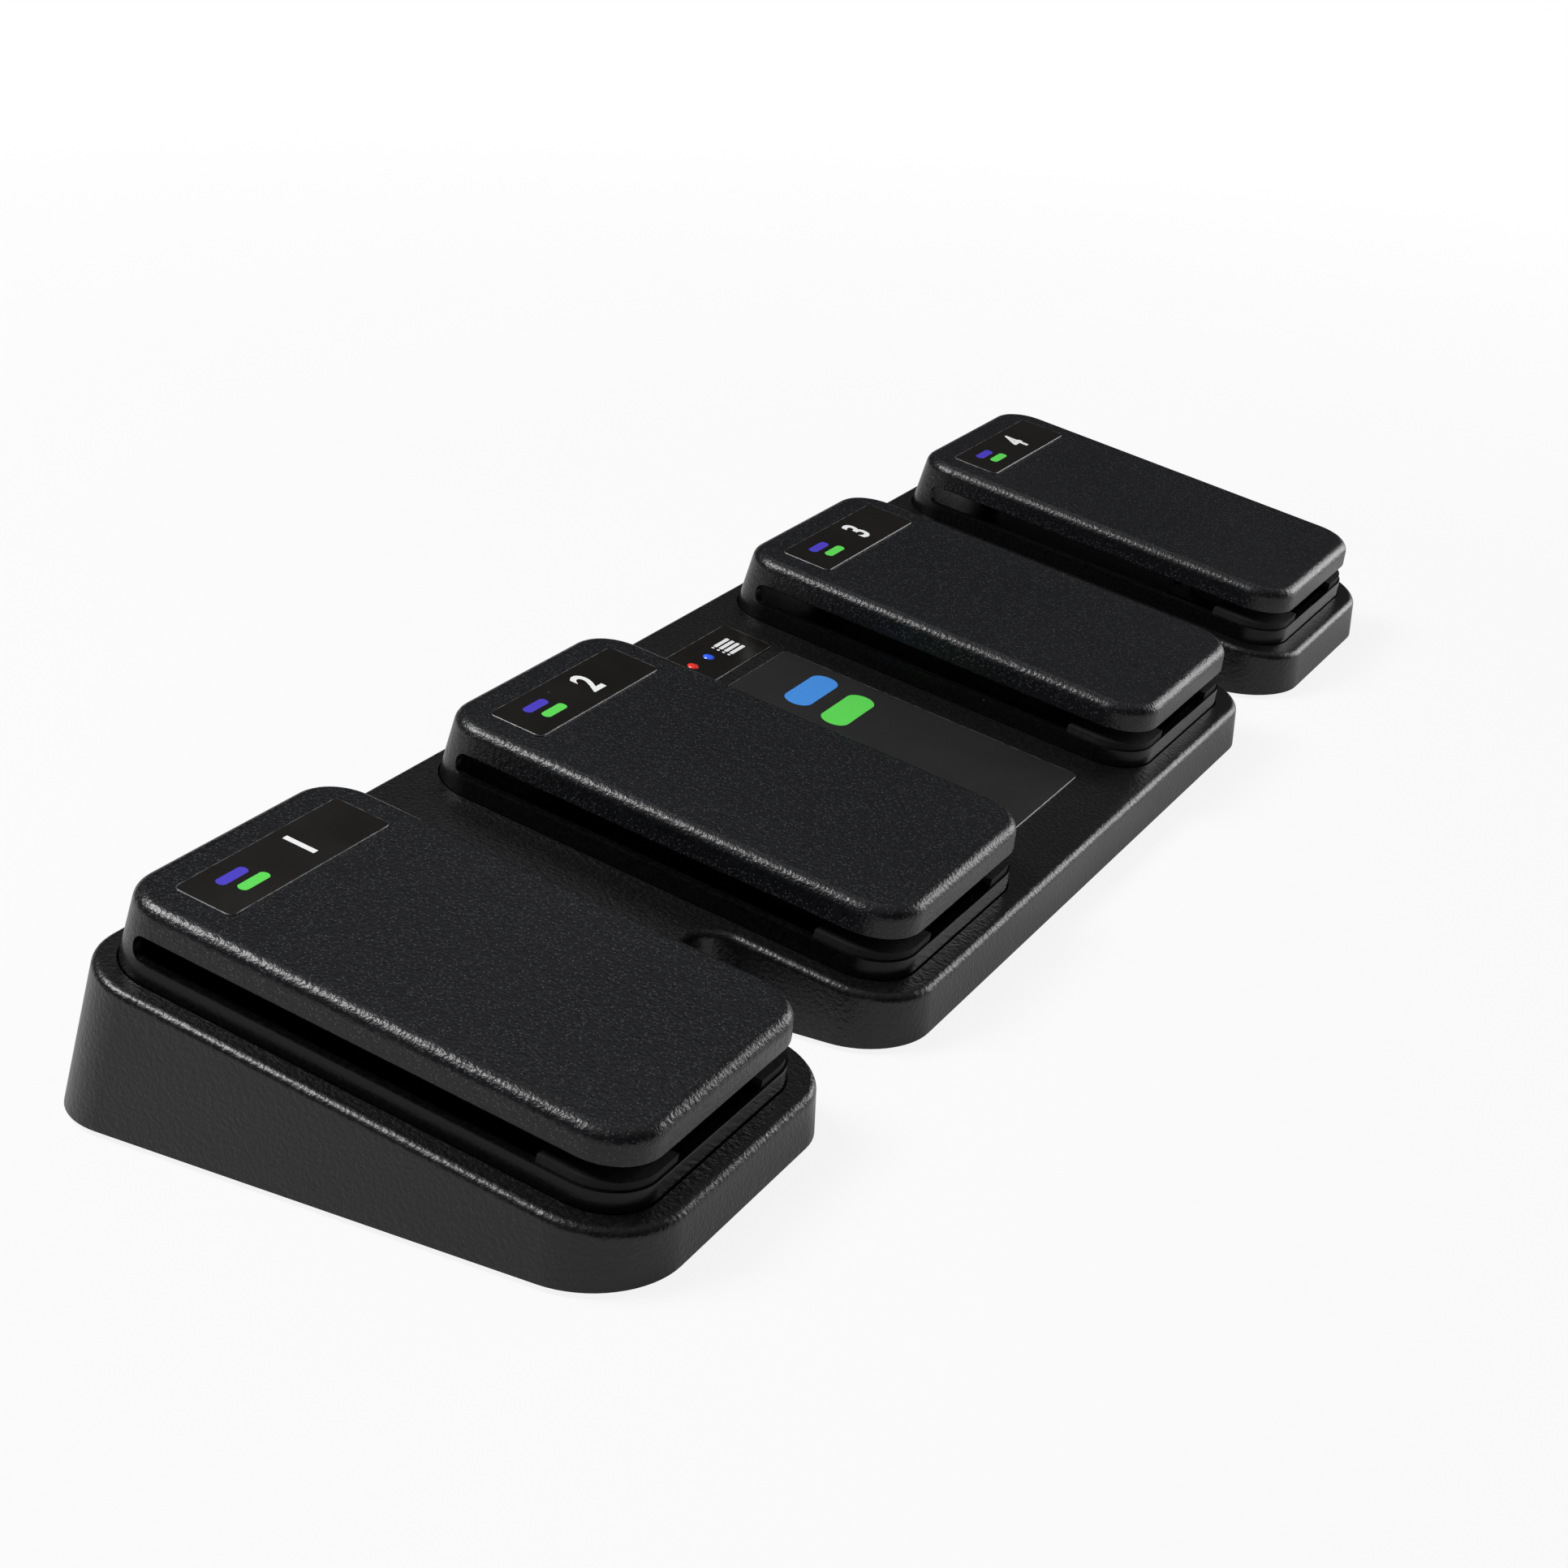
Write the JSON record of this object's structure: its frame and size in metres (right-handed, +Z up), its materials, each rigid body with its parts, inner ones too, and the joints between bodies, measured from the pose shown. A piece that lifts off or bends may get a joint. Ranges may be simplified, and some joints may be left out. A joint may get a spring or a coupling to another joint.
{
  "type": "foot pedal switch",
  "caption": "Low wedge-shaped foot controller: wide sprung pedals in a row on a notched casing, with indicator lights between them and a charging socket behind.",
  "frame": {"origin": "on the floor, under the middle of the casing's footprint", "axes": "+X to the player's right along the row of pedals, +Y to the high rear side, +Z up"},
  "size_m": [0.425, 0.1282, 0.047],
  "materials": {
    "casing_black": "moulded ABS with a fine spark-eroded grain",
    "plate_black": "moulded ABS, flat and finely grained",
    "pedal_black": "moulded ABS with a speckled grain, smoother and brighter along its edges",
    "label_gloss": "glossy printed polyester film with a thin bright cut edge",
    "label_satin": "satin printed polyester film",
    "light_red": "tinted acrylic light pipe",
    "light_blue": "tinted acrylic light pipe",
    "lamp_body": "small moulded lamp",
    "board_green": "glass-fibre circuit board with solder mask",
    "dome_silicone": "moulded silicone",
    "pad_rubber": "frosted soft rubber",
    "foot_rubber": "moulded rubber",
    "foam_grey": "closed-cell foam tape",
    "screw_steel": "blackened steel",
    "can_steel": "tinned steel",
    "socket_steel": "stamped stainless steel",
    "cell_wrap": "laminated foil pouch",
    "knob_black": "moulded nylon",
    "switch_black": "moulded nylon",
    "wire_grey": "flat insulated wire"
  },
  "bodies": {
    "casing": {"base_shell": "casing_black", "bottom_plate": "plate_black", "case_screws": "screw_steel", "rubber_feet": "foot_rubber", "pedal_1_hinge": "pedal_black", "pedal_1_frame": "pedal_black", "pedal_1_board": "board_green", "pedal_1_dome": "dome_silicone", "pedal_1_corner_pads": "pad_rubber", "pedal_2_hinge": "pedal_black", "pedal_2_frame": "pedal_black", "pedal_2_board": "board_green", "pedal_2_dome": "dome_silicone", "pedal_2_corner_pads": "pad_rubber", "pedal_3_hinge": "pedal_black", "pedal_3_frame": "pedal_black", "pedal_3_board": "board_green", "pedal_3_dome": "dome_silicone", "pedal_3_corner_pads": "pad_rubber", "pedal_4_hinge": "pedal_black", "pedal_4_frame": "pedal_black", "pedal_4_board": "board_green", "pedal_4_dome": "dome_silicone", "pedal_4_corner_pads": "pad_rubber", "indicator_label": "label_gloss", "centre_label": "label_satin", "red_light_pipe": "light_red", "blue_light_pipe": "light_blue", "red_lamp": "lamp_body", "blue_lamp": "lamp_body", "main_board": "board_green", "radio_module": "can_steel", "battery": "cell_wrap", "battery_pad": "foam_grey", "charging_socket": "socket_steel", "power_switch": "can_steel", "mode_button_switch": "switch_black", "ribbon_wires": "wire_grey"},
    "pedal_1": {"pedal_1_cap": "pedal_black", "pedal_1_label": "label_gloss"},
    "pedal_2": {"pedal_2_cap": "pedal_black", "pedal_2_label": "label_gloss"},
    "pedal_3": {"pedal_3_cap": "pedal_black", "pedal_3_label": "label_gloss"},
    "pedal_4": {"pedal_4_cap": "pedal_black", "pedal_4_label": "label_gloss"},
    "power_knob": {"power_switch_knob": "knob_black"},
    "button": {"mode_button": "knob_black"}
  },
  "joints": [
    {"name": "pedal_1_press", "type": "hinge", "parent": "casing", "child": "pedal_1", "pos_m": [-0.172, 0.05113, 0.03889], "axis": [1, 0, 0], "range_deg": [0, 1.5], "stiffness_Nm_per_rad": 18, "springref_deg": -0.17, "deforming": ["pedal_1_hinge", "pedal_1_dome"]},
    {"name": "pedal_2_press", "type": "hinge", "parent": "casing", "child": "pedal_2", "pos_m": [-0.0674, 0.05113, 0.03889], "axis": [1, 0, 0], "range_deg": [0, 1.5], "stiffness_Nm_per_rad": 18, "springref_deg": -0.17, "deforming": ["pedal_2_hinge", "pedal_2_dome"]},
    {"name": "pedal_3_press", "type": "hinge", "parent": "casing", "child": "pedal_3", "pos_m": [0.0674, 0.05113, 0.03889], "axis": [1, 0, 0], "range_deg": [0, 1.5], "stiffness_Nm_per_rad": 18, "springref_deg": -0.17, "deforming": ["pedal_3_hinge", "pedal_3_dome"]},
    {"name": "pedal_4_press", "type": "hinge", "parent": "casing", "child": "pedal_4", "pos_m": [0.172, 0.05113, 0.03889], "axis": [1, 0, 0], "range_deg": [0, 1.5], "stiffness_Nm_per_rad": 18, "springref_deg": -0.17, "deforming": ["pedal_4_hinge", "pedal_4_dome"]},
    {"name": "power_switch_slide", "type": "slide", "parent": "casing", "child": "power_knob", "axis": [1, 0, 0], "range_m": [0, 0.003]},
    {"name": "mode_button_press", "type": "slide", "parent": "casing", "child": "button", "axis": [0, -1, 0], "range_m": [0, 0.0008], "stiffness_N_per_m": 1000, "springref_m": -0.0001}
  ]
}
